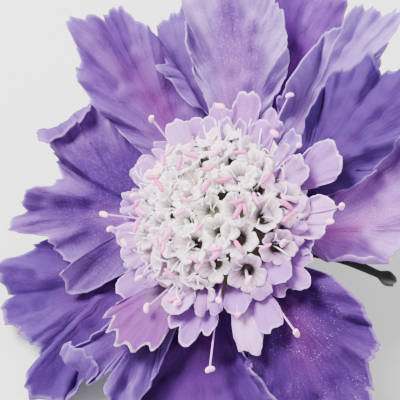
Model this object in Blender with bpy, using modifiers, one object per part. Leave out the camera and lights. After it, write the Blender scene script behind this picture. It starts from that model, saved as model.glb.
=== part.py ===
"""One cut scabiosa flower: a pincushion head on its stem, laid down on a flat surface.

The head leans on its front petals and the stem lies on the surface behind it.
Shapes of the head are worked out in millimetres about the head's own axis: x to its right, y away
from the viewer, z out of the face of the flower.  An empty carries the head frame into the world.
"""
import math
import random

import bmesh
import bpy
from mathutils import Matrix, Vector

MM = 0.001
COLLECTION = "scabiosa_flower"

# How the head lies: tilt of its axis from upright towards -Y, and the centre of the petal plane.
HEAD_TILT = math.radians(30)
HEAD_X = 0.15
HEAD_Y = -41.8
HEAD_HEIGHT = 17.3

# The neck under the disc, which the petal claws stand round.
NECK_RADIUS = 8.6
NECK_TOP = 2.9
CLAW_REACH = 9.0
BLADE_THICKNESS = 0.65
LAYER_HEIGHT = {"back": 0.2, "middle": 1.15, "front": 2.1}
PETAL_SPAN = 28.0
COLUMN_WIDTH = 3.2
PETAL_ROWS = 5
MARGIN_CROWDING = 1.35  # above 1, a blade's rows stand closer together towards its margin

# The dome of disc florets.
DOME_BASE = 4.0
DOME_RADIUS = 13.0
DOME_RISE = 7.5
CORE_INSET = 1.9
CORE_STEPS = 12
FLORET_COUNT = 46
FLORET_EDGE = math.radians(54)
FLORET_MOUTH = 1.5
FLORET_DEPTH = 4.2
FLORET_SIDES = 10
NOTCH_SHARE = 0.62
NOTCH_DEPTH = 0.35
THROAT_DEPTH = 1.1
GOLDEN_ANGLE = math.radians(137.508)

# The cup of the head, its bracts and the stem.
CUP_RADIUS = 8.8
CUP_TOP = -0.4
CUP_FOOT = -6.0
CUP_FLARE = [(7.6, -1.5), (5.0, -2.6), (2.8, -4.0), (1.8, -5.2)]
CUP_STEPS = 20
STEM_RADIUS = 1.3
STEM_BEND_RADIUS = 19.0
STEM_BEND_STEPS = 9
STEM_STRAIGHT = 95.0
STEM_STRAIGHT_STEPS = 12
STEM_SWAY = 3.0
CUT_SLANT = 0.7
CUT_ZONE = 0.5

# Bracts stand in two rows that take turns: (reach, width, height at the root).
BRACT_COUNT = 12
FIRST_BRACT = 19
LONG_BRACT = (25.0, 3.2, -1.45)
SHORT_BRACT = (19.0, 2.8, -1.75)
BRACT_ROOT = 5.0
BRACT_SWAY = 0.9
BRACT_DROOP = 0.05
BRACT_KEEL = 0.25

# Each petal: its layer, the azimuth of its claw, the claw's width, its rise from the petal plane in
# degrees, how far the tip bows up, and its margin as (azimuth, reach) from one side of the claw
# round to the other.  A curl is (place along the margin, half width, angle, length).
PETALS = {
    "petal_01_right": dict(
        layer="back", root=34, claw=3.2, rise=4, bow=0.5, pleats=3, wave=1.5,
        margin=[(19, 12.5), (17, 16), (18, 19.5), (24, 23), (31, 26.5), (36, 31.5), (42, 36),
                (48, 37.5), (55, 36.5), (61, 33), (66, 27), (63, 19), (52, 12.5)],
        curls=[(0.12, 0.12, 70, 3.5)]),
    "petal_02_upper_right": dict(
        layer="front", root=66, claw=3.4, rise=12, bow=0.5, pleats=4, wave=1.7,
        margin=[(50, 12.5), (48, 17), (50, 21), (55, 25.5), (59, 31), (64, 35.5), (70, 36), (74, 33),
                (79, 31), (83, 30.5), (85, 28), (88, 28), (91, 25.5), (90, 21.5), (88, 17), (83, 12.5)],
        curls=[(0.84, 0.12, 110, 4.5)]),
    "petal_03_top_right": dict(
        layer="middle", root=90, claw=2.6, rise=8, bow=1.5, pleats=3, wave=1.7,
        margin=[(78, 12.5), (80, 18), (81, 24), (82, 29.5), (81, 34), (84, 37.5), (90, 37), (94, 34.5),
                (95, 32), (98, 30.5), (99, 27.5), (101, 24.5), (102, 19), (104, 13.5)],
        curls=[(0.80, 0.18, 100, 4.5)]),
    "petal_04_top": dict(
        layer="back", root=110, claw=2.8, rise=4, bow=0.5, pleats=3, wave=1.4,
        margin=[(97, 12.5), (96, 19), (97, 27), (97, 33), (101, 37), (107, 36), (113, 35.5), (119, 34),
                (123, 29), (124, 21), (124, 13)],
        curls=[]),
    "petal_05_top_fan": dict(
        layer="front", root=122, claw=3.2, rise=14, bow=1.0, pleats=4, wave=1.7,
        margin=[(106, 12.5), (104, 18), (104.5, 24), (107, 28), (112, 31), (117, 35), (123, 38),
                (130, 37), (136, 33), (138, 28), (137, 23.5), (135, 18.5), (136, 13)],
        curls=[(0.80, 0.14, 60, 4.0)]),
    "petal_06_top_left_small": dict(
        layer="back", root=143, claw=2.6, rise=4, bow=0.0, pleats=2, wave=1.2,
        margin=[(130, 12.5), (130, 19), (132, 27), (137, 33), (143, 34.5), (149, 33), (154, 29.5),
                (157, 22), (157, 13)],
        curls=[]),
    "petal_07_upper_left": dict(
        layer="front", root=160, claw=3.2, rise=13, bow=0.0, pleats=4, wave=1.7,
        margin=[(142, 12.5), (139, 16), (139.5, 20), (144, 24), (148, 27), (150, 31), (153, 34.5),
                (159, 37.5), (165, 37), (170, 33.5), (174, 30), (176, 26), (177, 20), (178, 13)],
        curls=[(0.10, 0.12, 60, 3.5)]),
    "petal_08_left": dict(
        layer="middle", root=206, claw=3.6, rise=9, bow=0.0, pleats=5, wave=1.7,
        margin=[(178, 12.5), (170, 17), (169, 23), (174, 28), (181, 30), (187, 32), (192, 30.5), (197, 27.5),
                (202, 27), (208, 31), (213, 33), (218, 31.5), (219.5, 28), (224.5, 25.5), (230, 24),
                (235, 25.5), (240, 24.5), (242, 20.5), (241, 15.5), (236, 12.5)],
        curls=[]),
    "petal_09_lower_left": dict(
        layer="back", root=240, claw=3.4, rise=3, bow=0.2, pleats=4, wave=1.5,
        margin=[(220, 12.5), (216, 18), (217, 25), (221, 31), (226, 35), (232, 36.5), (239, 36),
                (245, 34.5), (248, 32.5), (251, 35), (256, 37), (262, 36.5), (265, 31), (264, 23),
                (259, 13)],
        curls=[]),
    "petal_10_bottom_small": dict(
        layer="front", root=270, claw=2.8, rise=11, bow=0.0, pleats=3, wave=1.5,
        margin=[(254, 12.5), (257, 18), (260, 22), (260, 25.5), (259.5, 28), (261, 31), (266, 32),
                (271, 29.5), (273, 26.5), (276, 29), (281, 31), (285, 28), (286, 21), (285, 13)],
        curls=[(0.42, 0.12, 70, 3.5)]),
    "petal_11_bottom": dict(
        layer="back", root=297, claw=3.4, rise=3, bow=-1.2, pleats=4, wave=1.5,
        margin=[(277, 12.5), (273, 18), (275, 25), (279, 31), (284, 35.5), (291, 37), (298, 36),
                (304, 37), (311, 36.5), (318, 33), (324, 27), (323, 19), (315, 12.5)],
        curls=[]),
    "petal_12_lower_right": dict(
        layer="front", root=344, claw=3.6, rise=9, bow=0.5, pleats=5, wave=1.7,
        margin=[(324, 12.5), (320, 18), (321, 24), (323, 30), (327, 35), (333, 38), (340, 37.5),
                (347, 35), (353, 32.5), (359, 29.5), (364, 26), (368, 21.5), (370, 17), (366, 12.5)],
        curls=[(0.28, 0.14, 100, 4.5)]),
}

# Florets round the rim have a wide outer lip, in two ranks.  The upper rank is even and short; each
# lip of the lower rank is given as (azimuth, reach, width in degrees).
UPPER_LIP_COUNT = 16
UPPER_LIP_REACH = 14.2
UPPER_LIP_WIDTH = 17
UPPER_LIP_ROOT = (8.3, 5.3)
UPPER_LIP_RISE = 27
LOWER_LIPS = [
    (9, 17.0, 20), (30, 18.5, 18), (60, 20.0, 20), (82, 16.5, 18), (105, 17.0, 19), (129, 16.0, 19),
    (155, 15.0, 20), (181, 14.8, 20), (207, 14.8, 20), (232, 15.2, 19), (253, 17.5, 18),
    (275, 22.5, 22), (296, 19.0, 17), (314, 18.0, 16), (332, 19.5, 17), (350, 17.0, 17),
]
LOWER_LIP_ROOT = (9.8, 4.3)
LOWER_LIP_RISE = 21
LIP_CLAW = 2.2
LIP_DISH = 0.5
# A lip's margin as (share of its half width, share of its reach), which makes three shallow lobes.
LIP_OUTLINE = [(-0.75, 0.74), (-1.0, 0.88), (-0.62, 0.98), (-0.32, 0.93), (0.0, 1.0), (0.32, 0.93),
               (0.62, 0.98), (1.0, 0.88), (0.75, 0.74)]

# Styles that stand out of the head: (azimuth, reach, height) of each knob.
STYLES = [
    (140, 22, 9), (168, 17, 9), (188, 17, 10), (203, 17, 8.5), (213, 21, 9.5), (223, 19, 7.5),
    (238, 18, 7.5), (262, 18, 9), (304, 25, 8.5), (341, 24, 8.5), (20, 17, 9.5), (42, 23, 9.5),
    (72, 17, 9.5), (101, 19, 10), (112, 12, 12.5), (215, 10, 13), (320, 9, 13),
]
STYLE_RADIUS = 0.32
STYLE_ROOT_REACH = 9.5
STYLE_ROOT_SHARE = 0.55
STYLE_ROOT_HEIGHT = 5.0
KNOB_RADIUS = 0.55


def new_material(name, colour, roughness):
    material = bpy.data.materials.new(name)
    material.use_nodes = True
    shader = material.node_tree.nodes["Principled BSDF"]
    shader.inputs["Base Color"].default_value = (*colour, 1.0)
    shader.inputs["Roughness"].default_value = roughness
    shader.inputs["Metallic"].default_value = 0.0
    return material


def new_object(name, mesh, collection):
    thing = bpy.data.objects.new(name, mesh)
    collection.objects.link(thing)
    return thing


def polar(azimuth, reach):
    """A point of the petal plane from its azimuth in degrees and its reach in millimetres."""
    angle = math.radians(azimuth)
    return Vector((reach * math.cos(angle), reach * math.sin(angle)))


def smooth_step(low, high, value):
    share = min(1.0, max(0.0, (value - low) / (high - low)))
    return share * share * (3.0 - 2.0 * share)


class Margin:
    """The outer edge of a petal, a smooth curve through its margin points, by length."""

    def __init__(self, margin):
        self.points = [polar(azimuth, reach) for azimuth, reach in margin]
        self.lengths = [0.0]
        for start, end in zip(self.points, self.points[1:]):
            self.lengths.append(self.lengths[-1] + (end - start).length)

    def at(self, share):
        distance = share * self.lengths[-1]
        last = len(self.points) - 1
        index = 0
        while index < last - 1 and self.lengths[index + 1] < distance:
            index += 1
        t = (distance - self.lengths[index]) / (self.lengths[index + 1] - self.lengths[index])
        before = self.points[max(index - 1, 0)]
        start = self.points[index]
        end = self.points[index + 1]
        after = self.points[min(index + 2, last)]
        return 0.5 * (2 * start + (end - before) * t + (2 * before - 5 * start + 4 * end - after) * t ** 2
                      + (3 * start - before - 3 * end + after) * t ** 3)


class Petal:
    """A petal's middle surface.  u runs from the claw to the margin and v along the margin."""

    WAVE_LENGTH = 11.0
    PLEAT_HEIGHT = 0.8
    SCALLOP_LENGTH = 7.5
    SCALLOP_DEPTH = 0.016
    SHORTEST_REACH = 3.0
    LEAST_TURN = 0.02

    def __init__(self, layer, root, claw, rise, bow, pleats, wave, margin, curls, seed):
        self.margin = Margin(margin)
        self.outward = polar(root, 1.0)
        self.sideways = Vector((-self.outward.y, self.outward.x))
        self.claw = claw
        self.base_height = LAYER_HEIGHT[layer]
        self.slope = math.tan(math.radians(rise))
        self.bow = bow
        self.pleats = pleats
        self.wave = wave
        self.curls = curls
        draw = random.Random(seed)
        self.phases = [draw.uniform(0.0, 2.0 * math.pi) for _ in range(3)]

    def flat(self, u, v):
        """Where the point lies in the petal plane before any curl: a vein that fans to the margin."""
        start = self.outward * CLAW_REACH + self.sideways * (v - 0.5) * self.claw
        end = self.margin.at(v)
        scallop = math.sin(2 * math.pi * v * self.margin.lengths[-1] / self.SCALLOP_LENGTH + self.phases[0])
        end = end * (1.0 + self.SCALLOP_DEPTH * scallop)
        ahead = max((end - start).dot(self.outward), self.SHORTEST_REACH)
        knee = start + self.outward * ahead * 0.5
        return start * (1 - u) ** 2 + knee * 2 * u * (1 - u) + end * u ** 2

    def height(self, u, v, place):
        out = (place.length - CLAW_REACH) / PETAL_SPAN
        along = v * self.margin.lengths[-1]
        sides = min(1.0, 5.0 * v, 5.0 * (1.0 - v))
        height = self.base_height + self.slope * (place.length - CLAW_REACH) + self.bow * out ** 2
        height += (self.PLEAT_HEIGHT * sides * u ** 1.3
                   * math.sin(2 * math.pi * self.pleats * v + self.phases[0]))
        ruffle = 0.65 * math.sin(2 * math.pi * along / self.WAVE_LENGTH + self.phases[1])
        ruffle += 0.35 * math.sin(2 * math.pi * along / (0.6 * self.WAVE_LENGTH) + self.phases[2])
        return height + self.wave * sides * smooth_step(0.5, 1.0, u) * ruffle

    def point(self, u, v):
        place = self.flat(u, v)
        for middle, half_width, angle, length in self.curls:
            window = smooth_step(0.0, 1.0, 1.0 - abs(v - middle) / half_width)
            turn = math.radians(angle) * window
            if turn < self.LEAST_TURN:
                continue
            margin = self.margin.at(v)
            span = (margin - self.flat(0.0, v)).length
            start_u = 1.0 - min(length / span, 0.9)
            if u <= start_u:
                continue
            start = self.flat(start_u, v)
            ahead = (margin - start).normalized()
            bent = turn * (u - start_u) / (1.0 - start_u)
            radius = length / turn
            place = start + ahead * radius * math.sin(bent)
            rise = radius * (1.0 - math.cos(bent))
            return Vector((*place, self.height(u, v, place) + rise))
        return Vector((*place, self.height(u, v, place)))


def sheet(name, surface, columns, rows, collection):
    """A grid laid over a surface function of u and v, split into triangles."""
    shape = bmesh.new()
    bmesh.ops.create_grid(shape, x_segments=columns + 1, y_segments=rows + 1, size=0.5)
    for vertex in shape.verts:
        u = 1.0 - (0.5 - vertex.co.y) ** MARGIN_CROWDING
        vertex.co = surface(u, vertex.co.x + 0.5) * MM
    bmesh.ops.triangulate(shape, faces=shape.faces[:])
    mesh = bpy.data.meshes.new(name)
    shape.to_mesh(mesh)
    shape.free()
    return new_object(name, mesh, collection)


def thicken(thing):
    """Both faces of the blade stand off the sheet alike, so waves never make them cross."""
    solidify = thing.modifiers.new("Thickness", "SOLIDIFY")
    solidify.thickness = BLADE_THICKNESS * MM
    solidify.offset = 0.0
    apply_modifiers(thing)


def apply_modifiers(thing):
    bpy.context.view_layer.update()
    graph = bpy.context.evaluated_depsgraph_get()
    mesh = bpy.data.meshes.new_from_object(thing.evaluated_get(graph))
    thing.modifiers.clear()
    thing.data = mesh


def rest_on_floor(thing):
    """Flattens what would dip under the surface that the flower lies on."""
    bpy.context.view_layer.update()
    into_world = thing.matrix_world.copy()
    into_head = into_world.inverted()
    for vertex in thing.data.vertices:
        place = into_world @ vertex.co
        if place.z < 0.0:
            place.z = 0.0
            vertex.co = into_head @ place


def make_petals(head, collection):
    colour = new_material("petal_violet", (0.30, 0.17, 0.55), 0.6)
    for number, (name, values) in enumerate(PETALS.items()):
        petal = Petal(**values, seed=20 + number)
        columns = round(petal.margin.lengths[-1] / COLUMN_WIDTH)
        thing = sheet(name, petal.point, columns, PETAL_ROWS, collection)
        thing.parent = head
        thicken(thing)
        rest_on_floor(thing)
        thing.data.materials.append(colour.copy())


def turned(name, profile, steps, collection):
    """A closed turned shape from (radius, height) points, from its top down its outer side."""
    mesh = bpy.data.meshes.new(name)
    points = [(radius * MM, 0.0, height * MM) for radius, height in profile]
    mesh.from_pydata(points, [(i, i + 1) for i in range(len(points) - 1)], [])
    thing = new_object(name, mesh, collection)
    screw = thing.modifiers.new("Turn", "SCREW")
    screw.steps = screw.render_steps = steps
    screw.use_merge_vertices = True
    screw.merge_threshold = 0.00001
    apply_modifiers(thing)
    return thing


def join_by_union(thing, pieces):
    """One Boolean union of the thing with all its pieces, which are then removed."""
    union = thing.modifiers.new("Union", "BOOLEAN")
    union.operation = "UNION"
    union.operand_type = "COLLECTION"
    union.collection = pieces
    union.solver = "MANIFOLD"
    apply_modifiers(thing)
    for piece in list(pieces.objects):
        bpy.data.objects.remove(piece)
    bpy.data.collections.remove(pieces)
    keep_outer_skin(thing)


def keep_outer_skin(thing):
    """Fills the small hollows that the union sealed, by dropping all but the outer skin."""
    shape = bmesh.new()
    shape.from_mesh(thing.data)
    unseen = set(shape.faces)
    skins = []
    while unseen:
        skin = [unseen.pop()]
        for face in skin:
            for edge in face.edges:
                fresh = [other for other in edge.link_faces if other in unseen]
                unseen.difference_update(fresh)
                skin.extend(fresh)
        skins.append(skin)
    outer = max(skins, key=len)
    inner = [face for skin in skins if skin is not outer for face in skin]
    bmesh.ops.delete(shape, geom=inner, context="FACES")
    shape.to_mesh(thing.data)
    shape.free()


def point_along(thing, direction, place):
    """Turns and moves a piece's mesh so that its +Z runs along a direction from a place."""
    turn = Vector((0, 0, 1)).rotation_difference(direction).to_matrix().to_4x4()
    thing.data.transform(Matrix.Translation(place) @ turn)


def dome_angles():
    """Angles from the dome's pole that share its surface evenly among the florets."""
    steps = 200
    edges = [FLORET_EDGE * step / steps for step in range(steps + 1)]
    areas = [0.0]
    for angle in edges[1:]:
        slant = math.hypot(DOME_RADIUS * math.cos(angle), DOME_RISE * math.sin(angle))
        areas.append(areas[-1] + math.sin(angle) * slant)
    angles = []
    step = 0
    for number in range(FLORET_COUNT):
        share = areas[-1] * (number + 0.5) / FLORET_COUNT
        while areas[step] < share:
            step += 1
        angles.append(edges[step])
    return angles


def make_floret(pieces, direction, place, spin, size):
    """A funnel with five lobes and a hollow throat; its pointed root is sunk in the core."""
    shape = bmesh.new()
    bmesh.ops.create_cone(shape, cap_ends=True, segments=FLORET_SIDES, radius1=0.0,
                          radius2=FLORET_MOUTH * MM, depth=FLORET_DEPTH * MM)
    mouth = max(shape.faces, key=lambda face: face.calc_center_median().z)
    for number, vertex in enumerate(mouth.verts):
        if number % 2:
            vertex.co.x *= NOTCH_SHARE
            vertex.co.y *= NOTCH_SHARE
            vertex.co.z -= NOTCH_DEPTH * MM
    throat = bmesh.ops.poke(shape, faces=[mouth])["verts"][0]
    throat.co.z -= THROAT_DEPTH * MM
    bmesh.ops.scale(shape, vec=(size, size, 1.0), verts=shape.verts[:])
    bmesh.ops.rotate(shape, matrix=Matrix.Rotation(spin, 3, "Z"), verts=shape.verts[:])
    bmesh.ops.translate(shape, vec=(0, 0, -0.5 * FLORET_DEPTH * MM), verts=shape.verts[:])
    mesh = bpy.data.meshes.new("floret")
    shape.to_mesh(mesh)
    shape.free()
    thing = new_object("floret", mesh, pieces)
    point_along(thing, direction, place)


def make_lip(pieces, azimuth, reach, width, root, rise):
    """The wide outer lip of a rim floret: three shallow lobes on a narrow root."""
    half = 0.5 * width
    margin = Margin([(azimuth + side * half, reach * share) for side, share in LIP_OUTLINE])
    outward = polar(azimuth, 1.0)
    sideways = Vector((-outward.y, outward.x))
    slope = math.tan(math.radians(rise))
    root_reach, root_height = root

    def surface(u, v):
        start = outward * root_reach + sideways * (v - 0.5) * LIP_CLAW
        place = start.lerp(margin.at(v), u)
        dish = LIP_DISH * u * (2 * v - 1) ** 2
        return Vector((*place, root_height + slope * (place.length - root_reach) + dish))

    thicken(sheet("lip", surface, 6, 1, pieces))


def make_style(pieces, azimuth, reach, height):
    """A thin style with its knob, rooted deep in the core."""
    knob = Vector((*polar(azimuth, reach), height))
    root = Vector((*polar(azimuth, min(STYLE_ROOT_REACH, STYLE_ROOT_SHARE * reach)), STYLE_ROOT_HEIGHT))
    direction = (knob - root).normalized()
    length = (knob - root).length
    rod = bmesh.new()
    bmesh.ops.create_cone(rod, cap_ends=True, segments=4, radius1=STYLE_RADIUS * MM,
                          radius2=STYLE_RADIUS * MM, depth=length * MM)
    bmesh.ops.translate(rod, vec=(0, 0, 0.5 * length * MM), verts=rod.verts[:])
    mesh = bpy.data.meshes.new("style")
    rod.to_mesh(mesh)
    rod.free()
    point_along(new_object("style", mesh, pieces), direction, root * MM)
    ball = bmesh.new()
    bmesh.ops.create_icosphere(ball, subdivisions=1, radius=KNOB_RADIUS * MM)
    mesh = bpy.data.meshes.new("knob")
    ball.to_mesh(mesh)
    ball.free()
    point_along(new_object("knob", mesh, pieces), direction, knob * MM)


def make_disc(head, collection):
    """The dome of funnel florets on its core and neck, with the rim lips and the styles."""
    core_radius = DOME_RADIUS - CORE_INSET
    core_rise = DOME_RISE - CORE_INSET
    profile = []
    for step in range(5):
        angle = math.radians(90 - 22.5 * step)
        profile.append((core_radius * math.cos(angle), DOME_BASE + core_rise * math.sin(angle)))
    profile[0] = (0.0, DOME_BASE + core_rise)
    profile += [(core_radius - 0.6, DOME_BASE - 0.5), (NECK_RADIUS, NECK_TOP), (NECK_RADIUS, -0.1),
                (0.0, -0.1)]
    disc = turned("disc_florets", profile, CORE_STEPS, collection)
    disc.parent = head
    pieces = bpy.data.collections.new("disc_pieces")
    bpy.context.scene.collection.children.link(pieces)
    draw = random.Random(7)
    angles = dome_angles()
    for number, polar_angle in enumerate(angles):
        azimuth = number * GOLDEN_ANGLE
        place = Vector((DOME_RADIUS * math.sin(polar_angle) * math.cos(azimuth),
                        DOME_RADIUS * math.sin(polar_angle) * math.sin(azimuth),
                        DOME_BASE + DOME_RISE * math.cos(polar_angle)))
        normal = Vector((place.x / DOME_RADIUS ** 2, place.y / DOME_RADIUS ** 2,
                         (place.z - DOME_BASE) / DOME_RISE ** 2)).normalized()
        size = 0.9 + 0.15 * polar_angle / FLORET_EDGE
        make_floret(pieces, normal, place * MM, draw.uniform(0, 2 * math.pi), size)
    for number in range(UPPER_LIP_COUNT):
        azimuth = 360 * number / UPPER_LIP_COUNT + draw.uniform(-2, 2)
        reach = UPPER_LIP_REACH + draw.uniform(-0.4, 0.6)
        make_lip(pieces, azimuth, reach, UPPER_LIP_WIDTH, UPPER_LIP_ROOT, UPPER_LIP_RISE)
    for azimuth, reach, width in LOWER_LIPS:
        make_lip(pieces, azimuth, reach, width, LOWER_LIP_ROOT, LOWER_LIP_RISE)
    for azimuth, reach, height in STYLES:
        make_style(pieces, azimuth, reach, height)
    # The pieces take the head's place before they are joined to the disc.
    for piece in pieces.objects:
        piece.parent = head
    join_by_union(disc, pieces)
    disc.data.materials.clear()
    disc.data.materials.append(new_material("disc_cream", (0.80, 0.76, 0.68), 0.55))


def stem_route():
    """Centre line of the stem in the world: down out of the cup, round the bend, along the floor."""
    axis = Vector((0.0, -math.sin(HEAD_TILT), math.cos(HEAD_TILT)))
    start = Vector((HEAD_X, HEAD_Y, HEAD_HEIGHT)) + axis * CUP_FOOT
    drop_angle = math.pi / 2 - HEAD_TILT
    bend_height = STEM_BEND_RADIUS * (1.0 - math.cos(drop_angle))
    straight_drop = start.z - STEM_RADIUS - bend_height
    bend_start = start - axis * (straight_drop / math.sin(drop_angle))
    points = [start + axis * 2.5, start, bend_start]
    for step in range(1, STEM_BEND_STEPS + 1):
        angle = drop_angle * step / STEM_BEND_STEPS
        back = STEM_BEND_RADIUS * (math.sin(drop_angle) - math.sin(drop_angle - angle))
        down = STEM_BEND_RADIUS * (math.cos(drop_angle - angle) - math.cos(drop_angle))
        points.append(bend_start + Vector((0.0, back, -down)))
    floor_start = points[-1]
    for step in range(1, STEM_STRAIGHT_STEPS + 1):
        share = step / STEM_STRAIGHT_STEPS
        sway = STEM_SWAY * math.sin(math.pi * 0.9 * share) * share
        points.append(Vector((HEAD_X - sway, floor_start.y + STEM_STRAIGHT * share, STEM_RADIUS)))
    return points


def make_stem(head, collection):
    """Stem, cup and bracts grow as one green piece."""
    profile = [(0.0, CUP_TOP), (CUP_RADIUS, CUP_TOP), (CUP_RADIUS, CUP_TOP - 0.4), *CUP_FLARE,
               (STEM_RADIUS, CUP_FOOT), (0.0, CUP_FOOT)]
    cup = turned("stem_cup_bracts", profile, CUP_STEPS, collection)
    cup.parent = head
    pieces = bpy.data.collections.new("stem_pieces")
    bpy.context.scene.collection.children.link(pieces)
    curve = bpy.data.curves.new("stem", "CURVE")
    curve.dimensions = "3D"
    curve.bevel_depth = STEM_RADIUS * MM
    curve.bevel_resolution = 3
    curve.use_fill_caps = True
    route = stem_route()
    spline = curve.splines.new("POLY")
    spline.points.add(len(route) - 1)
    for point, place in zip(spline.points, route):
        point.co = (*(place * MM), 1.0)
    tube = new_object("stem", curve, pieces)
    bpy.context.view_layer.update()
    graph = bpy.context.evaluated_depsgraph_get()
    mesh = bpy.data.meshes.new_from_object(tube.evaluated_get(graph))
    bpy.data.objects.remove(tube)
    shape = bmesh.new()
    shape.from_mesh(mesh)
    bmesh.ops.remove_doubles(shape, verts=shape.verts[:], dist=0.00001)
    # The cut end is sliced at a slant.
    end = route[-1].y * MM
    for vertex in shape.verts:
        if vertex.co.y > end - CUT_ZONE * MM:
            vertex.co.y += CUT_SLANT * (vertex.co.z - STEM_RADIUS * MM)
    shape.to_mesh(mesh)
    shape.free()
    new_object("stem", mesh, pieces)

    for number in range(BRACT_COUNT):
        azimuth = FIRST_BRACT + 360 * number / BRACT_COUNT
        reach, width, height = SHORT_BRACT if number % 2 else LONG_BRACT
        bract = make_bract(pieces, azimuth, reach, width, height)
        bract.parent = head
    join_by_union(cup, pieces)
    cup.data.materials.clear()
    cup.data.materials.append(new_material("stem_green", (0.10, 0.22, 0.07), 0.6))


def make_bract(pieces, azimuth, reach, width, height):
    """A narrow pointed bract, keeled along its middle and bent a little sideways."""
    outward = polar(azimuth, 1.0)
    sideways = Vector((-outward.y, outward.x))

    def surface(u, v):
        side = 2.0 * v - 1.0
        half = 0.5 * width * (0.45 + 1.9 * u * (1.0 - u) + 0.15 * (1.0 - u))
        place = outward * (BRACT_ROOT + (reach - BRACT_ROOT) * u)
        place = place + sideways * (side * half + BRACT_SWAY * math.sin(math.pi * u))
        droop = BRACT_DROOP * (place.length - BRACT_ROOT)
        keel = BRACT_KEEL * abs(side) * (1.0 - u)
        return Vector((*place, height - droop + keel))

    thing = sheet("bract", surface, 2, 4, pieces)
    thicken(thing)
    return thing


def main():
    for thing in list(bpy.data.objects):
        bpy.data.objects.remove(thing)
    collection = bpy.data.collections.new(COLLECTION)
    bpy.context.scene.collection.children.link(collection)
    head = bpy.data.objects.new("head_frame", None)
    collection.objects.link(head)
    head.location = Vector((HEAD_X, HEAD_Y, HEAD_HEIGHT)) * MM
    head.rotation_euler = (HEAD_TILT, 0.0, 0.0)
    make_petals(head, collection)
    make_disc(head, collection)
    make_stem(head, collection)


main()
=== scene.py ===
"""Looks of one cut scabiosa flower: a ruffled violet pincushion head laid down on its bent stem."""
import math
import random

import bpy
import numpy as np
from mathutils import Matrix, Vector


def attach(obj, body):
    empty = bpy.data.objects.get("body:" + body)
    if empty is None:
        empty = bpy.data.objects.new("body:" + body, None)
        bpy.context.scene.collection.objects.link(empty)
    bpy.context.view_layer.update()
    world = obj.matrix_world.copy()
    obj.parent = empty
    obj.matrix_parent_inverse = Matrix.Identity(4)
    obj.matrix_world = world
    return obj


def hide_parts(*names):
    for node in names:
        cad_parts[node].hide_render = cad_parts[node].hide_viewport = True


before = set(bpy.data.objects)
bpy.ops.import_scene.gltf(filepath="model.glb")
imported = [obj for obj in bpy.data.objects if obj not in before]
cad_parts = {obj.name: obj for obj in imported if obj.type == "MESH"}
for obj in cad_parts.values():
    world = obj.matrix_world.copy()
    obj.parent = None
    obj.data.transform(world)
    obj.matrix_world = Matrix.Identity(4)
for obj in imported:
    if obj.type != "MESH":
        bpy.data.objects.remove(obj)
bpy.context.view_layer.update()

# Ray petals.  Twelve thin velvety blades, each grown on a narrow claw under the disc.  Each is a flat
# outline that is pleated, waved and rolled at its edge, then thickened to a fifth of a millimetre.
# Sizes are in millimetres about the head's own axis, which HEAD carries to its place.
MM = 0.001
HEAD_TILT = math.radians(30)
HEAD_PLACE = Vector((0.15, -41.8, 17.3))
HEAD = Matrix.Translation(HEAD_PLACE * MM) @ Matrix.Rotation(HEAD_TILT, 4, "X") @ Matrix.Scale(MM, 4)
CLAW_REACH = 9.0
LAYER_HEIGHT = {"back": 0.2, "middle": 1.15, "front": 2.1}
PETAL_SPAN = 28.0
PETAL_THICKNESS = 0.2
PETAL_COLUMNS = 140
PETAL_ROWS = 80

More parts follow.
